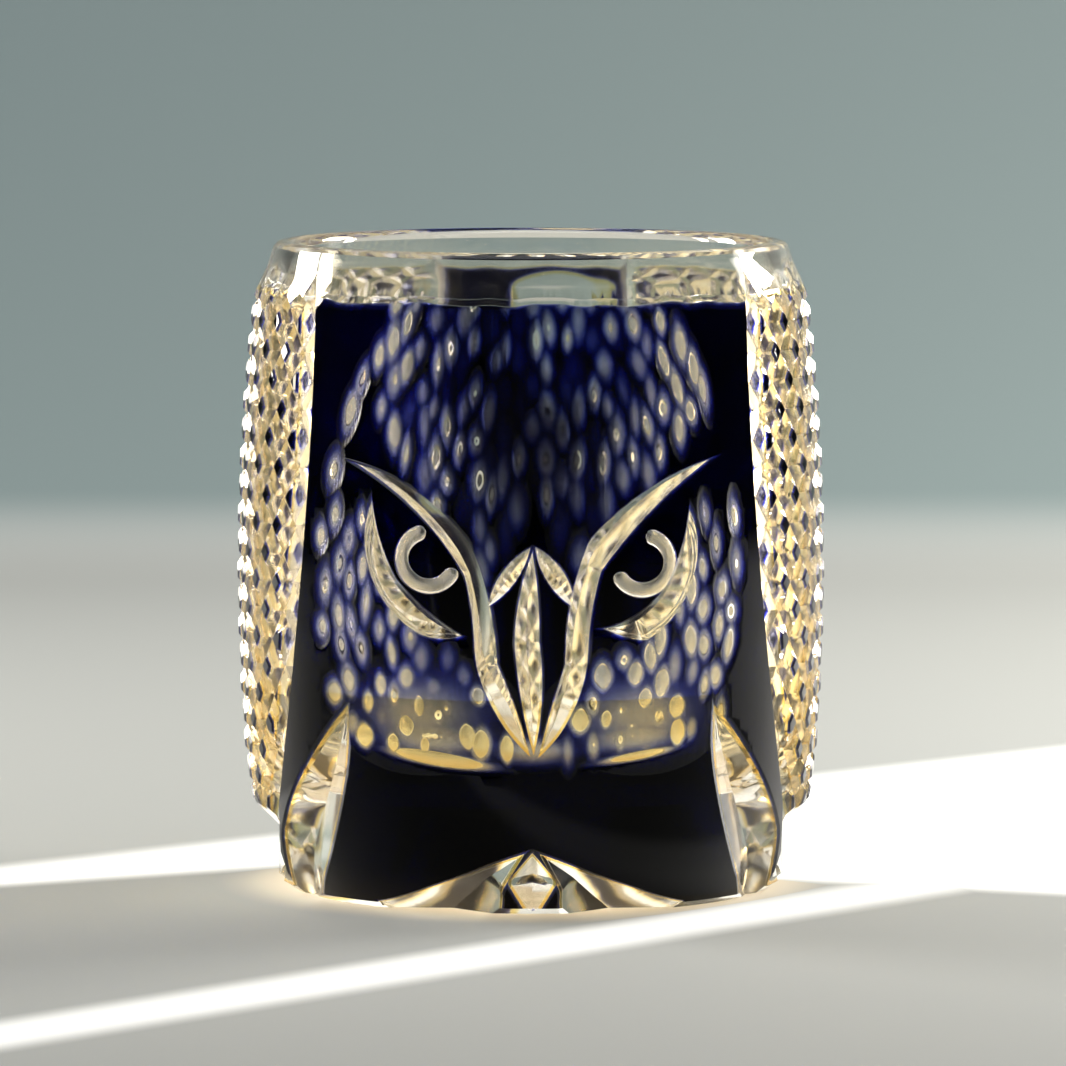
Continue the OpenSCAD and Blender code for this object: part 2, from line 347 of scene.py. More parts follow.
def vee(left, right, ridge=0.5, steepness=0.7, lift=LIFT):
    """A groove of two flat walls: its edges are two lines on the glass, its bottom lies between them at the
    share ridge, and its depth is steepness times half its width, so that it runs out to nothing at a tip."""
    left, right = np.asarray(left), np.asarray(right)
    share = np.interp(np.linspace(0, 1, len(left)), np.linspace(0, 1, np.size(ridge)), np.atleast_1d(ridge))
    middle = left + share[:, None] * (right - left)
    a, b = on_glass(*left.T), on_glass(*right.T)
    width = np.linalg.norm(b - a, axis=1)
    normal = outwards(*middle.T)
    centre = on_glass(*middle.T)
    along = np.gradient(centre, axis=0)
    across = np.cross(along, normal)
    across /= np.linalg.norm(across, axis=1, keepdims=True)
    if np.einsum("ij,ij->", across, b - a) < 0:
        across = -across
    depth = steepness * width / 2
    bottom = centre - normal * depth[:, None]
    spread_a = (2 * share / steepness * lift)[:, None]
    spread_b = (2 * (1 - share) / steepness * lift)[:, None]
    up = normal * lift
    edge_a = centre - across * (share * width)[:, None] - across * spread_a + up
    edge_b = centre + across * ((1 - share) * width)[:, None] + across * spread_b + up
    return carried(np.stack([edge_a, bottom, edge_b], 1))


def trough(line, half_width, depth):
    """A round-bottomed groove with round ends: half an ellipse carried along the line."""
    line = np.asarray(line)
    centre, normal = on_glass(*line.T), outwards(*line.T)
    along = np.gradient(centre, axis=0)
    along /= np.linalg.norm(along, axis=1, keepdims=True)
    across = np.cross(along, normal)
    run = np.concatenate([[0], np.cumsum(np.linalg.norm(np.diff(centre, axis=0), axis=1))])
    end = np.clip(np.minimum(run, run[-1] - run) / half_width, 0, 1)
    share = np.sqrt(np.maximum(1 - (1 - end) ** 2, 0.02))[:, None, None]
    t = np.linspace(0, math.pi, 13)[None, :, None]
    bowl = (centre[:, None] + across[:, None] * np.cos(t) * half_width * share
            - normal[:, None] * np.sin(t) * depth * share)
    lid = np.stack([centre - across * half_width * share[:, 0], centre + across * half_width * share[:, 0]], 1)
    return carried(np.concatenate([bowl, lid + normal[:, None] * LIFT], 1))


def bowl(angle, z, half_width, half_height, depth, tilt=0.0, around=16, pointed=0.0, rings=0):
    """A dished oval, or a pointed one: depth falls off as one less the square of the way to its edge. Its lid
    is a cone that clears the curved glass."""
    share = (np.linspace(0.05, 1.3, rings) if rings else np.array([0.3, 0.55, 0.78, 0.93, 1.08, 1.3]))[:, None]
    t = np.linspace(0, 2 * math.pi, around, endpoint=False)[None, :]
    u = half_width * share * np.cos(t) * np.abs(np.cos(t)) ** pointed
    v = half_height * share * np.sin(t)
    across = u * math.cos(tilt) - v * math.sin(tilt)
    up = u * math.sin(tilt) + v * math.cos(tilt)
    low = depth * (1 - share ** 2) + 0 * t
    grid = on_glass(angle + across / outer_radius(z), z + up, low)
    peak = 0.69 * depth + 1.35 * (1.3 * half_width) ** 2 / (2 * outer_radius(z))
    ends = np.array([on_glass(angle, z, depth), on_glass(angle, z, -peak)])
    m, n = grid.shape[:2]
    return closed(np.concatenate([grid.reshape(-1, 3), ends]), quads(m, n) + fans(m, n))


def inside(outline, points):
    """Whether each point lies in the outline, by the number of edges that a level line crosses."""
    a = np.asarray(outline)
    b = np.roll(a, -1, 0)
    x, y = points[:, 0, None], points[:, 1, None]
    crosses = (a[:, 1] > y) != (b[:, 1] > y)
    with np.errstate(divide="ignore", invalid="ignore"):
        at = a[:, 0] + (y - a[:, 1]) / (b[:, 1] - a[:, 1]) * (b[:, 0] - a[:, 0])
    return (crosses & (x < at)).sum(1) % 2 == 1


# ---------------------------------------------------------------- the owl's lines, as [x, z] from the front

BROW_LEFT_TOP = [
    arc((-26.8, 63.6), (-16.3, 60.1), (-8.4, 53.1)), arc((-8.4, 53.1), (-5.8, 45.4), (-4.5, 36.4)),
    arc((-4.5, 36.4), (-2.6, 31.4), (0.4, 21.6))]
BROW_LEFT_LOW = [
    arc((-26.8, 63.6), (-15.3, 55.6), (-9.1, 47.3)), arc((-9.1, 47.3), (-8.2, 42.2), (-7.8, 36.3)),
    arc((-7.8, 36.3), (-4.8, 27.4), (0.4, 21.6))]
BROW_RIGHT_TOP = [
    arc((27.0, 64.2), (16.9, 60.2), (8.1, 53.2)), arc((8.1, 53.2), (5.7, 45.4), (4.8, 36.4)),
    arc((4.8, 36.4), (3.2, 31.4), (0.4, 21.6))]
BROW_RIGHT_LOW = [
    arc((27.0, 64.2), (16.2, 55.3), (9.6, 47.3)), arc((9.6, 47.3), (8.5, 42.2), (8.0, 36.3)),
    arc((8.0, 36.3), (5.6, 27.4), (0.4, 21.6))]
CHEEK_LEFT_OUT = [
    arc((-22.0, 59.2), (-23.4, 48.4), (-16.1, 38.9)), arc((-16.1, 38.9), (-12.4, 38.3), (-8.5, 39.3))]
CHEEK_LEFT_IN = [
    arc((-22.0, 59.2), (-20.9, 52.9), (-18.6, 47.3)), arc((-18.6, 47.3), (-13.2, 42.2), (-8.5, 39.3))]
CHEEK_RIGHT_OUT = [
    arc((22.0, 57.9), (23.5, 47.4), (16.6, 37.9)), arc((16.6, 37.9), (12.4, 38.9), (8.5, 40.6))]
CHEEK_RIGHT_IN = [
    arc((22.0, 57.9), (20.9, 51.9), (18.8, 46.6)), arc((18.8, 46.6), (14.5, 42.4), (8.5, 40.6))]
STEM_LEFT = [arc((0.3, 52.3), (-1.9, 45.0), (-2.6, 38.6)), arc((-2.6, 38.6), (-1.4, 29.2), (0.4, 21.6))]
STEM_RIGHT = [arc((0.3, 52.3), (1.3, 46.0), (1.6, 38.6)), arc((1.6, 38.6), (1.9, 30.0), (0.4, 21.6))]
LEAVES = [
    ([arc((0.3, 52.3), (-3.2, 49.8), (-6.3, 43.1))], [arc((0.3, 52.3), (-2.0, 46.8), (-6.3, 43.1))]),
    ([arc((0.3, 52.3), (4.2, 49.4), (6.3, 43.0))], [arc((0.3, 52.3), (2.0, 47.0), (6.3, 43.0))])]
EYE_LEFT, EYE_RIGHT = (-14.2, 50.0), (15.6, 49.4)
EYE_RADIUS = 3.75
BEAK_FIELD = [(-5.4, 44.1), (0.3, 52.3), (5.4, 44.0), (7.0, 36.0), (0.4, 22.0), (-7.0, 36.0)]
BROW_TIP = np.array([(-27.4, 65.4), (-26.8, 64.4), (-22.0, 61.4), (-21.7, 62.2)])
MOON = (5.0, 75.5)

# the feather field's grid: its top row, the steps between rows and columns, and where it ends
FEATHER_TOP, FEATHER_ROW, FEATHER_COLUMN, FEATHER_LOW = 86.0, 3.1, 3.95, 22.3

# wide cuts: x, z, half width, half height, share of the feather cuts' depth, tilt in degrees
HAZE = (
    (-15.2, 28.6, 14.6, 8.8, 0.94, 2), (15.2, 28.4, 14.4, 8.6, 0.94, -2), (0.4, 23.6, 9.0, 3.2, 0.94, 0),
    (-14.0, 25.4, 13.6, 4.6, 0.98, -4), (14.6, 25.4, 12.0, 4.0, 0.97, 4),
    (-13.0, 22.2, 12.0, 1.7, 1.4, -7), (15.0, 22.6, 9.5, 1.2, 1.2, 8))


def front_half(z):
    """Half width of the front panel, in the front view: a power curve that leans out towards the foot."""
    share = np.clip((85 - np.maximum(z, 14)) / 71, 0, None)
    return 30 + 5.6 * share ** 1.6


def panel_edge(z):
    """The angle of the front panel's edge at a height."""
    return np.arcsin(np.clip(front_half(z) / outer_radius(z), -1, 1))


def face_cuts():
    """The owl's brows, beak, cheeks, leaves and eyes, in groups that don't touch within a group."""
    def groove(left, right, ridge, steepness, count=64):
        edges = (seen_from_front(spaced(line, count)) for line in (left, right))
        return vee(*edges, ridge, steepness)

    def ring(centre, first, last):
        t = np.radians(np.linspace(first, last, 56))
        points = np.array(centre) + EYE_RADIUS * np.stack([np.cos(t), np.sin(t)], -1)
        return trough(seen_from_front(points), 1.12, 0.75)

    brow_left = groove(BROW_LEFT_TOP, BROW_LEFT_LOW, [0.5, 0.62, 0.7, 0.75, 0.7, 0.3, 0.25], 0.72)
    brow_right = groove(BROW_RIGHT_TOP, BROW_RIGHT_LOW, [0.4, 0.3, 0.36, 0.42, 0.34, 0.4, 0.5], 0.72)
    cheeks = [
        groove(CHEEK_LEFT_OUT, CHEEK_LEFT_IN, 0.72, 0.52), groove(CHEEK_RIGHT_OUT, CHEEK_RIGHT_IN, 0.74, 0.52)]
    stem = groove(STEM_LEFT, STEM_RIGHT, [0.5, 0.45, 0.45, 0.5], 0.8)
    leaves = [groove(out, low, 0.5, 0.95, 32) for out, low in LEAVES]
    polished = [[brow_left], [brow_right], cheeks, [stem], [leaves[0]], [leaves[1]]]
    matte = [[ring(EYE_LEFT, 94, 343), ring(EYE_RIGHT, 197, 446)]]
    return polished, matte


def feather_cuts():
    """Staggered ovals over an egg-shaped field, uneven in place, size and depth. They lean with the egg, and
    none enters an eye, the beak or a brow's tip. Wide shallow cuts join the lowest ones into one band."""
    cut = bpy.context.scene.tumbler_cuts
    half_w, half_h = cut.feather_width / MM / 2, cut.feather_length / MM / 2
    chance = np.random.default_rng(11)
    eyes = [
        np.concatenate([spaced(BROW_LEFT_LOW[:2], 40), spaced(CHEEK_LEFT_IN, 30)[::-1]]),
        np.concatenate([spaced(BROW_RIGHT_LOW[:2], 40), spaced(CHEEK_RIGHT_IN, 30)[::-1]]),
        np.array(BEAK_FIELD),
        BROW_TIP, BROW_TIP * (-1, 1)]
    around = np.radians(np.arange(0, 360, 30))
    full = cut.feather_depth / MM
    groups = [[] for _ in range(10)]
    for row in range(25):
        for column in range(-9, 10):
            x = 0.6 + (column + 0.5 * (row % 2)) * FEATHER_COLUMN + chance.uniform(-0.6, 0.6)
            z = FEATHER_TOP - FEATHER_ROW * row + chance.uniform(-1.1, 1.1)
            low = min(max((44 - z) / 14, 0), 1)
            z += chance.uniform(-0.9, 0.9) * low
            w = half_w * chance.uniform(0.72, 1.15) * (1 + 0.2 * low)
            h = half_h * chance.uniform(0.7, 1.2) * (1 - 0.25 * low)
            reach = 30.6 * (1 - max((z - 50) / 58, 0) ** 2) * (1 - max((44 - z) / 46, 0) ** 2.2)
            if abs(x) > reach - 0.6 or z < FEATHER_LOW:
                continue
            tilt = math.radians(0.6 * x * (z - 46) / 40 + chance.uniform(-7, 7))
            edge = np.stack([
                x + 0.95 * (w * np.cos(around) * math.cos(tilt) - h * np.sin(around) * math.sin(tilt)),
                z + 0.95 * (w * np.cos(around) * math.sin(tilt) + h * np.sin(around) * math.cos(tilt))], -1)
            if any(inside(field, edge).any() for field in eyes):
                continue
            angle, height = seen_from_front([(x, z)])[0]
            bright = chance.random() < 0.42 + 0.55 * min(abs(x) / 20, 1)
            share = chance.uniform(0.88, 1.08) + 0.12 * (abs(x) > 17) if bright else chance.uniform(0.45, 0.75)
            depth = full * (share * (1 - low) + chance.uniform(0.85, 1.4) * low)
            groups[2 * (row % 5) + column % 2].append(bowl(angle, height, w, h, depth, tilt, pointed=0.3))
    haze = []
    for x, z, half_w, half_h, share, tilt in HAZE:
        angle, height = seen_from_front([(x, z)])[0]
        haze.append([bowl(angle, height, half_w, half_h, full * share, math.radians(tilt), 64, rings=26)])
    return [g for g in groups if g] + haze


def foot_cuts():
    """The large leaves beside the panel, the star notch in its foot, and the ground-in heels of the wings."""
    def lines(points):
        return np.stack([np.radians(points[:, 0]), points[:, 1]], -1)

    leaves = []
    for side in (-1, 1):
        out = spaced([arc((37.2 * side, 30.5), (51 * side, 21.0), (66 * side, 9.0)), [(73 * side, -4)]], 40)
        low = spaced([arc((37.2 * side, 30.5), (38.6 * side, 17.0), (47.5 * side, 4.6)), [(58 * side, -5)]], 40)
        leaves.append(vee(lines(out), lines(low), [0.5, 0.52, 0.5, 0.45], 0.36, 1.5))
    notches = []
    for side in (-1, 1):
        top = spaced([arc((0.2, 9.7), (8.4 * side, 5.1), (17.2 * side, -0.4)), [(24 * side, -5)]], 24)
        mid = spaced([[(0.2, 9.7), (2.6 * side, 4.8), (1.4 * side, 0), (1.0 * side, -6)]], 24)
        notches.append(vee(seen_from_front(top), seen_from_front(mid), [0.5, 0.42, 0.4, 0.4], 0.5, 1.5))
    kite = [vee(
        seen_from_front(spaced([[(0.2, 9.6), (-4.1, 4.6), (-1.4, 0.4), (-1.4, -4)]], 24)),
        seen_from_front(spaced([[(0.2, 9.6), (4.5, 4.6), (1.8, 0.4), (1.8, -4)]], 24)), 0.5, 0.5)]
    heels = []
    for side in (-1, 1):
        t = np.radians(np.linspace(68, 149, 9)) * side
        outline = np.array([[36.2, -2], [36.2, 8.5], [42.6, 14.8], [50, 15], [50, -2]])
        heels.append(carried(np.stack([
            outline[None, :, 0] * np.sin(t)[:, None], -outline[None, :, 0] * np.cos(t)[:, None],
            outline[None, :, 1] + 0 * t[:, None]], -1)))
    return [heels, leaves, [notches[0]], [notches[1]], kite]


def wing_cuts():
    """Two families of slanted grooves that cross, level grooves between the rows, upright ones between the
    columns, and the long flutes that frame each wing."""
    cut = bpy.context.scene.tumbler_cuts
    radius = sizes()["belly_radius"]
    pitch, row = cut.stud_pitch / MM, cut.row_pitch / MM
    width, depth = cut.stud_groove / MM, cut.stud_depth / MM
    rise = 2 * row / pitch
    end = cut.wing_end
    flute = math.radians(5.9)
    low_z, high_z = 12.0, 85.2
    groups = []

    def groove(s, z, half_width, steep):
        """A straight-sided groove along points given as distance round the belly and height."""
        line = np.stack([s / radius, z], -1)
        step = np.gradient(np.stack([s, z], -1), axis=0)
        step /= np.linalg.norm(step, axis=1, keepdims=True)
        off = np.stack([-step[:, 1] / radius, step[:, 0]], -1) * half_width
        return vee(line + off, line - off, 0.5, steep, 0.2)

    def within(s, z):
        return (s > (panel_edge(z) + flute * 0.8) * radius) & (s < (end + flute * 0.3) * radius)

    for direction in (-1, 1):
        shapes = []
        for side in (-1, 1):
            for k in range(-60, 61):
                s = np.linspace(30, 125, 400)
                z = direction * rise * (s - 88) + 45 + 2 * row * k
                keep = within(s, z) & (z > low_z) & (z < high_z)
                if keep.sum() < 12:
                    continue
                s, z = s[keep], z[keep]
                at = np.linspace(0, len(s) - 1, max(4, int((s[-1] - s[0]) / 1.3))).astype(int)
                shapes.append(groove(side * s[at], z[at], width / 2, 2 * depth / width))
        groups.append((shapes, "lattice"))
    level, upright = [], []
    for side in (-1, 1):
        for k in range(-20, 20):
            z = 45 + row * (k + 0.5)
            if not low_z + 1 < z < high_z - 0.5:
                continue
            s = np.linspace((panel_edge(z) + flute * 0.85) * radius, (end + flute * 0.2) * radius, 60)
            level.append(groove(side * s, z + 0 * s, 0.95, 0.72))
        for k in range(-20, 30):
            s0 = 88 + pitch / 2 * (k + 0.5)
            z = np.linspace(low_z + 1, high_z - 0.5, 120)
            keep = within(s0 + 0 * z, z) & (s0 < end * radius - 1)
            if keep.sum() < 8:
                continue
            z = z[keep][:: max(1, keep.sum() // 40)]
            upright.append(groove(side * (s0 + 0 * z), z, 0.75, 0.8))
    groups += [(level, "lattice"), (upright, "lattice")]
    flutes = []
    for side in (-1, 1):
        z = np.linspace(89, -3, 60)
        inner = np.stack([side * panel_edge(z), z], -1)
        outer = np.stack([side * (panel_edge(z) + flute), z], -1)
        flutes.append(vee(inner, outer, 0.36, 0.72))
        inner = np.stack([side * (end + 0 * z), z], -1)
        outer = np.stack([side * (math.pi - cut.back_half + 0 * z), z], -1)
        flutes.append(vee(inner, outer, 0.5, 0.5, 1.0))
    groups.append((flutes, "facet"))
    return groups


def back_cuts():
    """A round window and three tall reeds in the back panel."""
    def behind(points):
        shown = seen_from_front(points)
        return np.stack([math.pi - shown[:, 0], shown[:, 1]], -1)

    angle, z = behind([MOON])[0]
    shapes = [bowl(angle, z, 9.4, 9.4, 1.0, around=48)]
    for x, top, half in ((-6.5, 62, 2.8), (1.5, 52, 3.2), (9.0, 58, 2.8)):
        left = spaced([arc((x, top), (x - half, top * 0.42), (x - half * 0.7, -4))], 40)
        right = spaced([arc((x, top), (x + half, top * 0.42), (x + half * 0.7, -4))], 40)
        shapes.append(vee(behind(left), behind(right), 0.5, 0.55))
    return [shapes]


def band_cut():
    """The tapered rim band, whose lower edge waves a little because it is ground by hand."""
    s = sizes()
    profile = np.array([
        [40.4, 82.2], [39.95, 83.2], [38.9, 85.8], [38.1, 87.5], [37.45, 89.0], [36.95, 90.6], [36.7, 91.3],
        [36.25, 91.75], [35.6, 91.97], [35.0, 92.0], [35.0, 94], [50, 94], [50, 82.2]])
    profile[:, 1] += s["height"] - 92
    points, faces = revolved(profile, bpy.context.scene.tumbler_sizes.segments)
    t = np.arctan2(points[:, 0], -points[:, 1])
    wave = 0.05 * np.sin(13 * t + 0.7) + 0.035 * np.sin(29 * t) + 0.02 * np.sin(47 * t + 2)
    fade = np.clip((90 - points[:, 2]) / 3, 0, 1) * (np.hypot(points[:, 0], points[:, 1]) < 45)
    points[:, :2] *= (1 + (wave * fade / 39)[:, None])
    return points, faces


# ---------------------------------------------------------------- blanks and pieces


MARKS = ("polished", "matte", "facet", "lattice", "bore", "skin", "bond", "joint")


def markers():
    """Stand-in materials that say what kind of face each is while the glass is being cut."""
    return {n: bpy.data.materials.get("mark_" + n) or bpy.data.materials.new("mark_" + n) for n in MARKS}


def wheel():
    """Every cut as one closed shape, made once and kept for the three layers."""
    whole = bpy.data.objects.get("wheel")
    if whole:
        return whole
    mark = markers()
    polished, matte = face_cuts()
    groups = [(g, "facet") for g in polished + foot_cuts()] + [(g, "polished") for g in back_cuts()]
    groups += wing_cuts()
    groups += [(g, "matte") for g in matte + feather_cuts()]
    whole = solid("wheel", band_cut(), mark["polished"])
    for number, (shapes, kind) in enumerate(groups):
        tool = solid(f"cut_{number}", joined(shapes), mark[kind])
        combined(whole, tool, "UNION")
        bpy.data.objects.remove(tool)
    whole.hide_render = True
    return whole


def shell_outline(outside, within, low=0.9, high=88.0):
    """The closed [r, z] outline of a layer between two depths under the outer surface."""
    z = np.concatenate([np.linspace(low, 20, 12), np.linspace(20, high, 40)[1:]])
    return np.concatenate([
        np.stack([outer_radius(z) - outside, z], -1), np.stack([outer_radius(z) - within, z], -1)[::-1]])


# the lip's radii on the outside, across the flat top and on the inside, and the rounding between the last two
LIP_OUTER, LIP_TOP, LIP_INNER, LIP_ROUND = 36.4, 35.0, 33.6, 1.4


def vessel_outline(casing):
    """The clear vessel's outline from the middle of its foot, up its side, over the lip and down its cavity."""
    s = sizes()
    z = np.concatenate([np.linspace(0.9, 20, 12), np.linspace(20, 91.5, 42)[1:]])
    side = np.stack([outer_radius(z) - casing, z], -1)
    foot = side[0, 0] - 1.0
    t = np.radians(np.linspace(8, 90, 7))
    lip = np.stack([
        LIP_INNER + LIP_ROUND - LIP_ROUND * np.sin(t), s["height"] - LIP_ROUND + LIP_ROUND * np.cos(t)], -1)
    corner_z = s["base"] + s["corner"]
    down = np.linspace(s["band_bottom"], corner_z, 34)
    bore = np.stack([outer_radius(down) - s["wall"], down], -1)
    centre = np.array([outer_radius(corner_z) - s["wall"] - s["corner"], corner_z])
    t = np.radians(np.linspace(-6, -90, 12))
    corner = centre + s["corner"] * np.stack([np.cos(t), np.sin(t)], -1)
    floor = np.stack([np.linspace(centre[0], 0, 8)[1:-1], np.full(6, s["base"])], -1)
    under = np.stack([np.linspace(0, foot, 8)[1:], np.zeros(7)], -1)
    return np.concatenate([
        [[0, 0]], under, side, [[LIP_OUTER, s["height"]], [LIP_TOP, s["height"]]], lip, bore, corner, floor,
        [[0, s["base"]]]])


def islands(mesh):
    """A number for each vertex, the same for all that are joined by edges."""
    edges = np.empty(len(mesh.edges) * 2, np.int32)
    mesh.edges.foreach_get("vertices", edges)
    a, b = edges.reshape(-1, 2).T
    label = np.arange(len(mesh.vertices))
    while True:
        low = np.minimum(label[a], label[b])
        new = label.copy()
        np.minimum.at(new, a, low)
        np.minimum.at(new, b, low)
        new = new[new]
        if (new == label).all():
            return label
        label = new


def places(mesh):
    """The mesh's vertices as an array, in millimetres."""
    points = np.empty(len(mesh.vertices) * 3, np.float32)
    mesh.vertices.foreach_get("co", points)
    return points.reshape(-1, 3).astype(float) / MM


def region(points, label):
    """Which part of the tumbler each joined group of vertices belongs to."""
    names, back = np.unique(label, return_inverse=True)
    low = np.full((len(names), 3), np.inf)
    high = -low
    np.minimum.at(low, back, points)
    np.maximum.at(high, back, points)
    middle = (low + high) / 2
    size = (high - low).max(1)
    angle = np.abs(np.arctan2(middle[:, 0], -middle[:, 1]))
    part = np.where(middle[:, 0] < 0, "wing_left", "wing_right").astype("U12")
    part[angle > math.radians(158)] = "back"
    part[(size > 40) & (middle[:, 1] > 0)] = "back"
    front = (angle < math.radians(46)) | ((size > 40) & (middle[:, 1] < 0))
    part[front] = "face"
    beak = (np.abs(middle[:, 0]) < 7) & (middle[:, 1] < 0) & (size < 35)
    beak &= (middle[:, 2] > 20) & (middle[:, 2] < 50)
    part[beak & (middle[:, 0] < 0)] = "beak_left"
    part[beak & (middle[:, 0] >= 0)] = "beak_right"
    part[size < 0.25] = "crumb"
    return part[back]


def finish(piece, nodes, looks, inner=0.0, full=None, keep=None, strength=None):
    """Keeps some of the vertices, sets smooth shading with sharp cut edges, stores how much of the layer
    is left over each vertex, and hands the piece to the frame in place of its solid."""
    mesh = piece.data
    points = places(mesh)
    if keep is not None:
        bm = bmesh.new()
        bm.from_mesh(mesh)
        bm.verts.ensure_lookup_table()
        bmesh.ops.delete(bm, geom=[bm.verts[i] for i in np.flatnonzero(~keep)], context="VERTS")
        bm.to_mesh(mesh)
        bm.free()
        points = places(mesh)
    left = np.ones(len(points))
    if full:
        left = np.clip((np.hypot(points[:, 0], points[:, 1]) - outer_radius(points[:, 2]) + inner) / full, 0, 1)
    kinds = [m.name.removeprefix("mark_") for m in mesh.materials]
    slots = np.empty(len(mesh.polygons), np.int32)
    mesh.polygons.foreach_get("material_index", slots)
    order = list(looks)
    swap = np.array([order.index(k) for k in kinds], np.int32)
    corners = np.empty(len(mesh.loops), np.int32)
    mesh.loops.foreach_get("vertex_index", corners)
    counts = np.empty(len(mesh.polygons), np.int32)
    mesh.polygons.foreach_get("loop_total", counts)
    whole = np.repeat(np.isin(np.array(kinds)[slots], ("bond", "joint")), counts)
    value = np.where(whole, 1.0, left[corners]) * (strength(points)[corners] if strength else 1.0)
    mesh.attributes.new("layer_left", "FLOAT", "CORNER").data.foreach_set("value", value.astype(np.float32))
    mesh.materials.clear()
    for key in order:
        mesh.materials.append(looks[key])
    mesh.polygons.foreach_set("material_index", swap[slots])
    mesh.shade_smooth()
    mesh.set_sharp_from_angle(angle=math.radians(24))
    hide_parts(*nodes)
    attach(piece, "root")


# ---------------------------------------------------------------- materials


def tree_of(material):
    """The material's empty node tree with its output."""
    material.use_nodes = True
    tree = material.node_tree
    tree.nodes.clear()
    out = tree.nodes.new("ShaderNodeOutputMaterial")
    out.location = (600, 0)
    return tree, out


def node(tree, kind, x, y, inputs=(), **values):
    """A node at a place, with its properties; each input gets a constant or a link."""
    new = tree.nodes.new(kind)
    new.location = (x, y)
    for key, value in values.items():
        setattr(new, key, value)
    for key, value in inputs.items() if isinstance(inputs, dict) else enumerate(inputs):
        if isinstance(value, bpy.types.NodeSocket):
            tree.links.new(value, new.inputs[key])
        else:
            new.inputs[key].default_value = value
    return new


def maths(tree, operation, x, y, *values):
    """The output of a Math node."""
    return node(tree, "ShaderNodeMath", x, y, values, operation=operation).outputs[0]


def group(name, inputs, outputs):
    """An empty shader node group with its sockets, or the one that is there already."""
    ready = bpy.data.node_groups.get(name)
    if ready:
        return ready, None, None
    tree = bpy.data.node_groups.new(name, "ShaderNodeTree")
    for label, kind, value in inputs:
        socket = tree.interface.new_socket(label, in_out="INPUT", socket_type=kind)
        socket.default_value = value
    for label, kind in outputs:
        tree.interface.new_socket(label, in_out="OUTPUT", socket_type=kind)
    first = tree.nodes.new("NodeGroupInput")
    first.location = (-900, 0)
    last = tree.nodes.new("NodeGroupOutput")
    last.location = (500, 0)
    return tree, first, last


def layer_colour():
    """Colour kept by what is left of a layer: each channel of the tint to the power of what is left, times
    the power asked for and a streaky noise."""
    tree, first, last = group(
        "Layer colour",
        [("Tint", "NodeSocketColor", (1, 1, 1, 1)), ("Power", "NodeSocketFloat", 1.0),
         ("Uneven", "NodeSocketFloat", 0.06), ("Ease", "NodeSocketFloat", 1.0)],
        [("Color", "NodeSocketColor")])
    if first is None:
        return tree
    given = first.outputs
    stored = node(tree, "ShaderNodeAttribute", -900, 200, attribute_name="layer_left")
    left = maths(tree, "POWER", -700, 200, stored.outputs["Fac"], given["Ease"])
    place = node(tree, "ShaderNodeTexCoord", -1100, -250).outputs["Object"]
    tall = node(tree, "ShaderNodeVectorMath", -900, -250, [place, (1, 1, 0.22)], operation="MULTIPLY")
    cloud = node(tree, "ShaderNodeTexNoise", -700, -250, {
        "Vector": tall.outputs[0], "Scale": 900.0, "Detail": 3.0})
    shift = maths(tree, "MULTIPLY_ADD", -500, -250, cloud.outputs["Fac"], given["Uneven"], 1.0)
    amount = maths(tree, "MULTIPLY", -500, 200, left, given["Power"])
    whole = maths(tree, "MULTIPLY", -320, 100, amount, shift)
    split = node(tree, "ShaderNodeSeparateColor", -320, -100, [given["Tint"]])
    channels = [maths(tree, "POWER", -80, 150 - 170 * k, split.outputs[k], whole) for k in range(3)]
    merge = node(tree, "ShaderNodeCombineColor", 250, 0, channels)
    tree.links.new(merge.outputs[0], last.inputs["Color"])
    return tree


def wheel_marks():
    """The height of the marks that a wheel leaves: fine noise stretched along the tumbler's axis."""
    tree, first, last = group(
        "Wheel marks",
        [("Across", "NodeSocketFloat", 900.0), ("Along", "NodeSocketFloat", 120.0),
         ("Soft", "NodeSocketFloat", 60.0)],
        [("Height", "NodeSocketFloat")])
    if first is None:
        return tree
    given = first.outputs
    place = node(tree, "ShaderNodeTexCoord", -900, 300).outputs["Object"]
    scale = node(tree, "ShaderNodeCombineXYZ", -700, 0, [given["Across"], given["Across"], given["Along"]])
    stretch = node(tree, "ShaderNodeVectorMath", -500, 150, [place, scale.outputs[0]], operation="MULTIPLY")
    fine = node(tree, "ShaderNodeTexNoise", -300, 200, {
        "Vector": stretch.outputs[0], "Scale": 1.0, "Detail": 4.0})
    broad = node(tree, "ShaderNodeTexNoise", -300, -100, {
        "Vector": place, "Scale": given["Soft"], "Detail": 1.0})
    total = maths(tree, "MULTIPLY_ADD", 0, 0, broad.outputs["Fac"], 2.0, fine.outputs["Fac"])
    tree.links.new(total, last.inputs["Height"])
    return tree


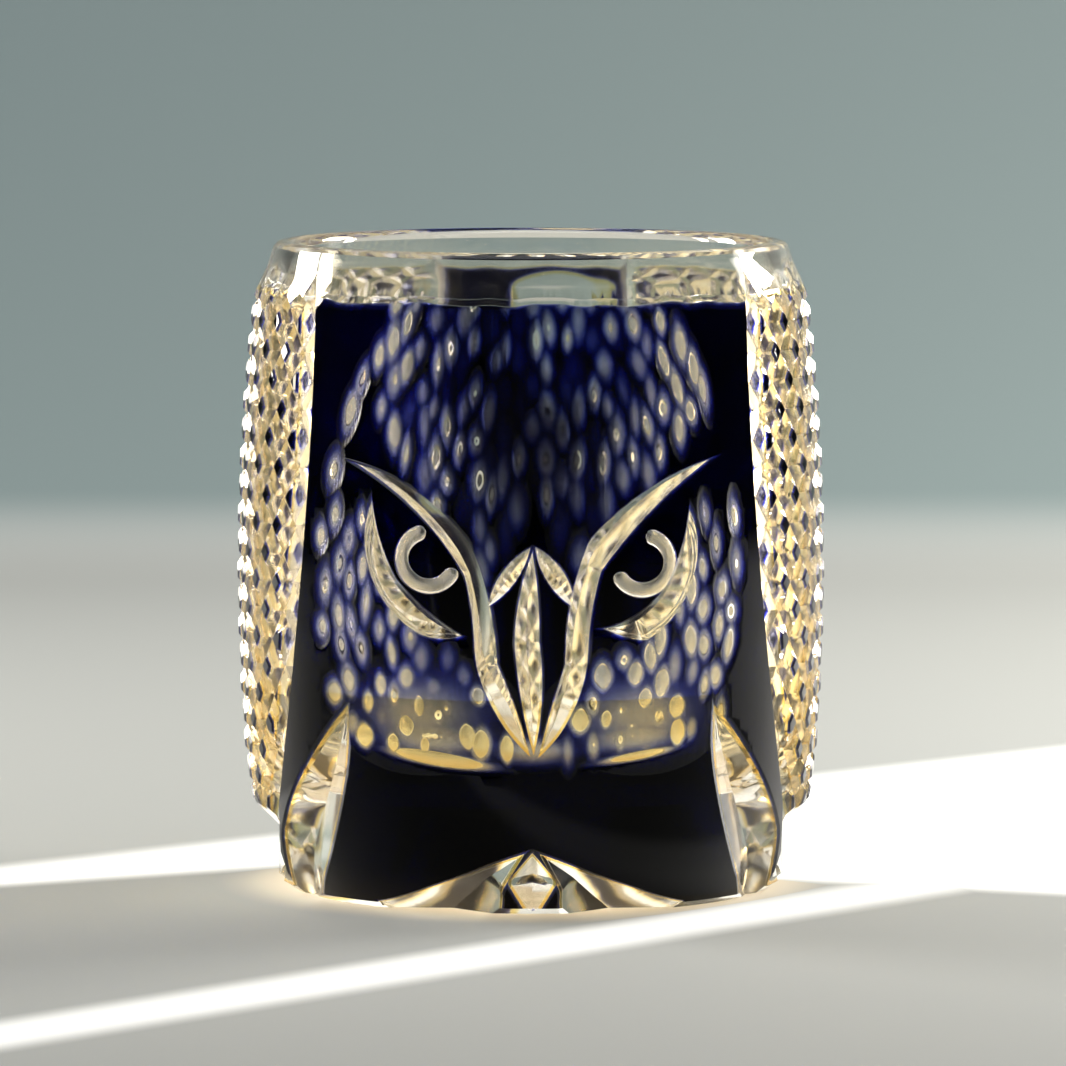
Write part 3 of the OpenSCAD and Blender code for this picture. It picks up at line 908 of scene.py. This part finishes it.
def glass(name, tint, power, matte=False, rough=0.0, mark=0.02, shine=1.0, uneven=0.06, ease=1.0):
    """Polished or ground glass whose colour follows what is left of its layer."""
    material = bpy.data.materials.new(name)
    tree, out = tree_of(material)
    colour = node(tree, "ShaderNodeGroup", 0, 200, {
        "Tint": (*tint, 1), "Power": power, "Uneven": uneven, "Ease": ease}, node_tree=layer_colour())
    across, along = (2600.0, 300.0) if matte else (900.0, 120.0)
    marks = node(tree, "ShaderNodeGroup", -200, -200, {
        "Across": across, "Along": along}, node_tree=wheel_marks())
    bump = node(tree, "ShaderNodeBump", 50, -200, {
        "Strength": 0.35 if matte else mark, "Distance": 0.0002, "Height": marks.outputs["Height"]})
    body = node(tree, "ShaderNodeBsdfPrincipled", 300, 0, {
        "Base Color": colour.outputs["Color"], "Roughness": 0.27 if matte else rough,
        "IOR": bpy.context.scene.tumbler_looks.ior, "Transmission Weight": 1.0,
        "Specular Tint": (shine, shine, shine, 1), "Normal": bump.outputs["Normal"]})
    tree.links.new(body.outputs["BSDF"], out.inputs["Surface"])
    return material


def passing(name, tint):
    """Where one glass is fused to the next, light goes straight on and keeps the tint's colour."""
    material = bpy.data.materials.new(name)
    tree, out = tree_of(material)
    through = node(tree, "ShaderNodeBsdfTransparent", 300, 0, {"Color": (*tint, 1)})
    tree.links.new(through.outputs[0], out.inputs["Surface"])
    return material


def sweep_material(stage):
    """A pale floor that curves up into a grey green backdrop. It shows a painted slanting patch and streak of
    daylight, and a painted warm glow round the foot, all given as emission and not cast by a lamp. It is
    see-through from behind and fades out far away."""
    material = bpy.data.materials.new("sweep")
    tree, out = tree_of(material)
    place = node(tree, "ShaderNodeTexCoord", -1300, 0).outputs["Object"]
    px, py, pz = node(tree, "ShaderNodeSeparateXYZ", -1100, 0, [place]).outputs

    def calc(operation, x, y, *values):
        return maths(tree, operation, x, y, *values)

    def soft(value, low, high, x, y):
        inputs = {"Value": value, "From Min": low, "From Max": high}
        made = node(tree, "ShaderNodeMapRange", x, y, inputs, interpolation_type="SMOOTHSTEP")
        return made.outputs["Result"]

    def blend(first, second, amount, x, y):
        # a Mix node holds a set of sockets for each data type; 6 and 7 are the two colours
        first, second = [(*end, 1) if isinstance(end, tuple) else end for end in (first, second)]
        made = node(tree, "ShaderNodeMix", x, y, {0: amount, 6: first, 7: second}, data_type="RGBA")
        return [k for k in made.outputs if k.type == "RGBA"][0]

    floor, wall = tuple(stage.floor_colour), tuple(stage.wall_colour)
    far = soft(pz, 0.0, 0.014, -300, 500)
    # painted daylight: emission in a slanting patch between these lines, and in a streak along another line
    upper = calc("MULTIPLY_ADD", -900, 300, px, 0.88, 0.0836)
    lower_left = calc("MULTIPLY_ADD", -900, 100, px, 0.50, 0.031)
    lower_right = calc("MULTIPLY_ADD", -900, -100, px, -0.375, 0.0125)
    lower = calc("MINIMUM", -700, 0, lower_left, lower_right)
    under = soft(calc("SUBTRACT", -700, 300, upper, py), -0.004, 0.012, -500, 300)
    over = soft(calc("SUBTRACT", -500, 0, py, lower), -0.004, 0.006, -300, 0)
    patch = calc("MULTIPLY", -100, 200, under, over)
    streak_line = calc("MULTIPLY_ADD", -900, -350, px, 1.10, -0.068)
    offset = calc("ABSOLUTE", -500, -350, calc("SUBTRACT", -700, -350, py, streak_line))
    streak = calc("MULTIPLY", -100, -300, soft(offset, 0.017, 0.004, -300, -350), 0.75)
    # painted glow: warm emission round the foot stands in for light focused through the glass
    reach = calc("SQRT", -500, -600, calc(
        "ADD", -700, -600, calc("MULTIPLY", -900, -550, px, px), calc("MULTIPLY", -900, -700, py, py)))
    glow = calc("MULTIPLY", -100, -600, soft(reach, 0.046, 0.030, -300, -600), stage.glow)
    day = calc("MULTIPLY", 100, -150, calc("MAXIMUM", 0, 0, patch, streak), stage.daylight)
    lit_wall = calc("MULTIPLY", 100, -300, far, stage.wall_light)
    light = calc("MAXIMUM", 350, -150, calc("MAXIMUM", 250, -150, day, glow), lit_wall)
    warm = blend((1.0, 0.98, 0.94), (1.0, 0.70, 0.32), calc("GREATER_THAN", 100, -400, glow, day), 200, -400)
    body = node(tree, "ShaderNodeBsdfPrincipled", 300, 0, {
        "Roughness": 0.7, "Specular IOR Level": 0.3, "Base Color": blend(floor, wall, far, 50, 500),
        "Emission Strength": light, "Emission Color": blend(warm, wall, far, 250, -500)})
    behind = node(tree, "ShaderNodeNewGeometry", 300, 300).outputs["Backfacing"]
    clear = node(tree, "ShaderNodeBsdfTransparent", 300, -300)
    gone = calc("MAXIMUM", 400, 300, behind, soft(reach, 0.5, 1.0, -300, -800))
    sided = node(tree, "ShaderNodeMixShader", 480, 0, [gone, body.outputs[0], clear.outputs[0]])
    tree.links.new(sided.outputs[0], out.inputs["Surface"])
    return material


def world_light(stage):
    """A world that lights from overhead, and that a ray from the camera, or one that has only passed
    through glass, sees as the backdrop's colour."""
    world = bpy.data.worlds.new("world")
    world.use_nodes = True
    tree = world.node_tree
    place = node(tree, "ShaderNodeTexCoord", -900, 0).outputs["Generated"]
    axes = node(tree, "ShaderNodeSeparateXYZ", -700, 0, [place])
    rise = node(tree, "ShaderNodeMapRange", -500, 0, {
        "Value": axes.outputs["Z"], "From Min": 0.78, "From Max": 0.90,
        "To Min": stage.room, "To Max": stage.sky})
    back = tree.nodes["Background"]
    back.inputs["Color"].default_value = (0.90, 0.96, 1.0, 1)
    tree.links.new(rise.outputs["Result"], back.inputs["Strength"])
    colour = (*(c * WALL_LIT for c in stage.wall_colour), 1)
    seen = node(tree, "ShaderNodeBackground", 0, -200, {"Color": colour})
    path = node(tree, "ShaderNodeLightPath", -300, 300).outputs
    plain = maths(tree, "LESS_THAN", -300, 500, path["Glossy Depth"], 0.5)
    past = maths(tree, "MULTIPLY", -200, 400, path["Is Transmission Ray"], plain)
    either = maths(tree, "MAXIMUM", -100, 300, path["Is Camera Ray"], past)
    choose = node(tree, "ShaderNodeMixShader", 200, 0, [either, back.outputs[0], seen.outputs[0]])
    tree.links.new(choose.outputs[0], tree.nodes["World Output"].inputs["Surface"])
    return world


# ---------------------------------------------------------------- operators


def blank(name, outline, faces):
    """A turned blank whose faces are marked by a rule on each face's middle, [radius, z] in millimetres."""
    mark = markers()
    shape = revolved(outline, bpy.context.scene.tumbler_sizes.segments)
    piece = solid(name, shape, mark["polished"])
    names = list(MARKS)
    for key in names[1:]:
        piece.data.materials.append(mark[key])
    middle = np.array([shape[0][list(f)].mean(0) for f in shape[1]])
    marked = faces(np.hypot(middle[:, 0], middle[:, 1]), middle[:, 2])
    index = np.array([names.index(k) for k in marked], np.int32)
    piece.data.polygons.foreach_set("material_index", index)
    return piece


# the height from which a layer's bond with the glass inside it is clear; below, it carries the layer's colour
CLEAR_FROM = {"amber": 31, "blue": 100}

# the amber's face fades over this stretch of height, and this share of its colour is lost above it
FADE_LOW, FADE_REACH, FADE_LOSS = 21, 12, 0.95


class TUMBLER_OT_crystal(bpy.types.Operator):
    """Turns and cuts the clear vessel."""

    bl_idname = "tumbler.crystal"
    bl_label = "Clear vessel"

    def execute(self, context):
        s = sizes()
        casing = s["blue"] + s["amber"] + 0.01

        def faces(r, z):
            outside = (np.abs(r - (outer_radius(z) - casing)) < 0.04) & (z > 1)
            inside_it = (z > s["base"] - 0.1) & (z < s["height"] - 3) & (r < outer_radius(z) - 3)
            return np.select([outside, inside_it], ["joint", "bore"], "polished")

        piece = blank("crystal_vessel", vessel_outline(casing), faces)
        combined(piece, wheel(), "DIFFERENCE")
        looks = context.scene.tumbler_looks
        warm, painted_gold, ground = (tuple(t) for t in (looks.crystal_tint, looks.painted_wing_glow, looks.ground_tint))
        finish(piece, ["crystal_body"], {
            "polished": glass("crystal", warm, 1.0, mark=0.012),
            "facet": glass("crystal_facet", (0.96, 0.91, 0.80), 0.5, rough=0.07, mark=0.012, uneven=3.0),
            # the wing grooves' golden colour is painted warm glow, not a colour of the clear crystal
            "lattice": glass("crystal_lattice", painted_gold, 1.2, rough=0.16, mark=0.06, uneven=1.2),
            "bore": glass("crystal_bore", warm, 1.0, rough=0.08, mark=0.01),
            "matte": glass("crystal_ground", ground, 1.0, matte=True, shine=0.6, uneven=1.5),
            "joint": passing("crystal_joint", (1, 1, 1)),
            "skin": glass("crystal_skin", warm, 1.0), "bond": passing("crystal_bond", (1, 1, 1))})
        return {"FINISHED"}


def pale(points):
    """How much of its colour the amber's face keeps: all of it low down, and very little above the fade."""
    rise = np.clip((points[:, 2] - FADE_LOW) / FADE_REACH, 0, 1)
    return 1 - FADE_LOSS * rise * rise * (3 - 2 * rise)


def layer(name, outside, within, skin, looks):
    """Turns one coloured layer, cuts it, and parts it into the pieces that the cuts leave."""
    clear_from = CLEAR_FROM[name]

    def faces(r, z):
        depth = outer_radius(z) - r
        fused = np.abs(depth - within) < 0.03
        return np.select(
            [np.abs(depth - outside) < 0.03, fused & (z > clear_from), fused], [skin, "joint", "bond"],
            "polished")

    whole = blank(name, shell_outline(outside, within), faces)
    combined(whole, wheel(), "DIFFERENCE")
    points = places(whole.data)
    part = region(points, islands(whole.data))
    found = [key for key in ("beak_left", "beak_right") if (part == key).any()]
    for key in ("face", *found, "back", "wing_left", "wing_right"):
        keep = part == key
        if not keep.any():
            raise RuntimeError(f"{name}: nothing is left of {key}")
        piece = bpy.data.objects.new(f"{name}_{key}_glass", whole.data.copy())
        bpy.context.scene.collection.objects.link(piece)
        nodes = [f"{name}_{key}"]
        if key == "face":
            nodes += [f"{name}_{beak}" for beak in ("beak_left", "beak_right") if beak not in found]
        strength = pale if nodes[0] == "amber_face" else None
        finish(piece, nodes, looks, within, within - outside, keep, strength)
    bpy.data.objects.remove(whole)


class TUMBLER_OT_amber(bpy.types.Operator):
    """Turns and cuts the amber layer."""

    bl_idname = "tumbler.amber"
    bl_label = "Amber layer"

    def execute(self, context):
        s = sizes()
        tint = tuple(context.scene.tumbler_looks.amber_tint)
        layer("amber", s["blue"], s["blue"] + s["amber"], "joint", {
            "polished": glass("amber_cut", tint, 2.0),
            "facet": glass("amber_facet", tint, 2.0, rough=0.1),
            "lattice": glass("amber_lattice", tint, 1.2, rough=0.2),
            "bore": glass("amber_bore", tint, 2.0),
            "matte": glass("amber_ground", tint, 0.2, matte=True, shine=0.5, uneven=3.0),
            "skin": glass("amber_skin", tint, 2.0),
            "joint": passing("amber_joint", (1, 1, 1)),
            "bond": passing("amber_bond", tuple(c ** 0.45 for c in tint))})
        return {"FINISHED"}


class TUMBLER_OT_cobalt(bpy.types.Operator):
    """Turns and cuts the cobalt layer."""

    bl_idname = "tumbler.cobalt"
    bl_label = "Cobalt layer"

    def execute(self, context):
        s = sizes()
        tint = tuple(context.scene.tumbler_looks.cobalt_tint)
        share = 0.06
        layer("blue", 0.0, s["blue"] - 0.01, "skin", {
            "polished": glass("cobalt_cut", tint, 2 * (1 - share)),
            "facet": glass("cobalt_facet", tint, 2 * (1 - share), rough=0.1),
            "lattice": glass("cobalt_lattice", tint, 2 * (1 - share), rough=0.26),
            "bore": glass("cobalt_bore", tint, 2 * (1 - share)),
            "matte": glass("cobalt_ground", tint, 2 * (1 - share), matte=True, shine=0.5, uneven=0.9, ease=1.6),
            "skin": glass("cobalt_skin", tint, 2.4 * (1 - share), mark=0.03, shine=0.15),
            "joint": passing("cobalt_joint", (1, 1, 1)),
            "bond": passing("cobalt_bond", tuple(c ** share for c in tint))})
        return {"FINISHED"}


WALL_LIT = 2.3  # how bright the world's backdrop is against the wall's own colour

# name, place, height aimed at, size, watts, colour; sun_fill lights the shadow that sun_side throws
LAMPS = (
    ("sun_side", (0.50, 0.34, 0.36), 0.04, (0.20, 0.20), 8, (1.0, 0.93, 0.82)),
    ("sun_fill", (0.51, 0.33, 0.37), 0.04, (0.20, 0.20), 7, (1.0, 0.93, 0.82)),
    ("glint_right", (0.30, 0.10, 0.13), 0.05, (0.04, 0.16), 0.8, (1.0, 0.96, 0.90)),
    ("glint_left", (-0.30, 0.06, 0.15), 0.05, (0.04, 0.16), 0.5, (1.0, 0.90, 0.72)),
    ("fill_left", (-0.50, 0.26, 0.22), 0.05, (0.16, 0.30), 6, (1.0, 0.95, 0.88)))


class TUMBLER_OT_stage(bpy.types.Operator):
    """Makes the camera, the floor that curves up into a backdrop, and the lamps."""

    bl_idname = "tumbler.stage"
    bl_label = "Stage"

    def execute(self, context):
        scene = context.scene
        stage = scene.tumbler_stage
        lens = bpy.data.cameras.new("camera")
        lens.sensor_width = 36
        lens.lens = 18 / math.tan(stage.view_angle / 2)
        lens.clip_start = 0.05
        camera = bpy.data.objects.new("camera", lens)
        scene.collection.objects.link(camera)
        scene.camera = camera
        aim = Vector((0.0003, 0, 0.050))
        camera.location = (0.0003, -stage.camera_distance, stage.camera_height)
        camera.rotation_euler = (aim - camera.location).to_track_quat("-Z", "Y").to_euler()

        reach, turn, bend = 3.0, 0.42, 0.22
        t = np.linspace(0, math.pi / 2, 24)
        line = np.concatenate([
            [[-reach, 0], [-1, 0], [0, 0], [turn, 0]],
            np.stack([turn + bend * np.sin(t), bend - bend * np.cos(t)], -1)[1:], [[turn + bend, 2.2]]])
        x = np.linspace(-reach, reach, 13)
        grid = np.stack([x[None] + 0 * line[:, :1], line[:, :1] + 0 * x, line[:, 1:] + 0 * x], -1)
        mesh = bpy.data.meshes.new("sweep")
        m, n = grid.shape[:2]
        mesh.from_pydata(grid.reshape(-1, 3).tolist(), [], quads(m, n, columns=n - 1))
        mesh.materials.append(sweep_material(stage))
        mesh.shade_smooth()
        sweep = bpy.data.objects.new("sweep", mesh)
        scene.collection.objects.link(sweep)
        sweep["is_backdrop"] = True

        scene.world = world_light(stage)
        for name, place, height, size, power, colour in LAMPS:
            light = bpy.data.lights.new(name, "AREA")
            light.shape = "RECTANGLE"
            light.size, light.size_y = size
            light.energy = power
            light.color = colour
            light.use_shadow = name != "sun_fill"
            lamp = bpy.data.objects.new(name, light)
            lamp.location = place
            lamp.rotation_euler = (Vector((0, 0, height)) - Vector(place)).to_track_quat("-Z", "Y").to_euler()
            lamp.visible_camera = False
            lamp.visible_transmission = name.startswith("glint")
            scene.collection.objects.link(lamp)

        scene.view_settings.view_transform = "Standard"
        scene.cycles.max_bounces = 32
        scene.cycles.transmission_bounces = 32
        scene.cycles.glossy_bounces = 16
        scene.cycles.transparent_max_bounces = 128
        return {"FINISHED"}


class TUMBLER_PT_panel(bpy.types.Panel):
    """Sizes, looks and buttons."""

    bl_label = "Cased Owl Tumbler"
    bl_space_type = "VIEW_3D"
    bl_region_type = "UI"
    bl_category = "Tumbler"

    def draw(self, context):
        for name in ("tumbler_sizes", "tumbler_cuts", "tumbler_looks", "tumbler_stage"):
            settings = getattr(context.scene, name)
            box = self.layout.box()
            for key in settings.__annotations__:
                box.prop(settings, key)
        for operator in OPERATORS:
            self.layout.operator(operator.bl_idname)


OPERATORS = (TUMBLER_OT_crystal, TUMBLER_OT_amber, TUMBLER_OT_cobalt, TUMBLER_OT_stage)
SETTINGS = {
    "tumbler_sizes": TumblerSizes, "tumbler_cuts": CutSizes, "tumbler_looks": GlassLooks,
    "tumbler_stage": StageLooks}


def register():
    for cls in (*SETTINGS.values(), *OPERATORS, TUMBLER_PT_panel):
        bpy.utils.register_class(cls)
    for name, cls in SETTINGS.items():
        setattr(bpy.types.Scene, name, PointerProperty(type=cls))


def unregister():
    for name in SETTINGS:
        delattr(bpy.types.Scene, name)
    for cls in (TUMBLER_PT_panel, *OPERATORS[::-1], *list(SETTINGS.values())[::-1]):
        bpy.utils.unregister_class(cls)


def main():
    """Makes the tumbler and its stage, then removes the cutting wheel and the stand-in materials."""
    register()
    bpy.ops.tumbler.crystal()
    bpy.ops.tumbler.amber()
    bpy.ops.tumbler.cobalt()
    bpy.ops.tumbler.stage()
    ready = bpy.data.objects.get("wheel")
    if ready:
        bpy.data.objects.remove(ready)
    for material in markers().values():
        bpy.data.materials.remove(material)


if __name__ == "__main__":
    main()
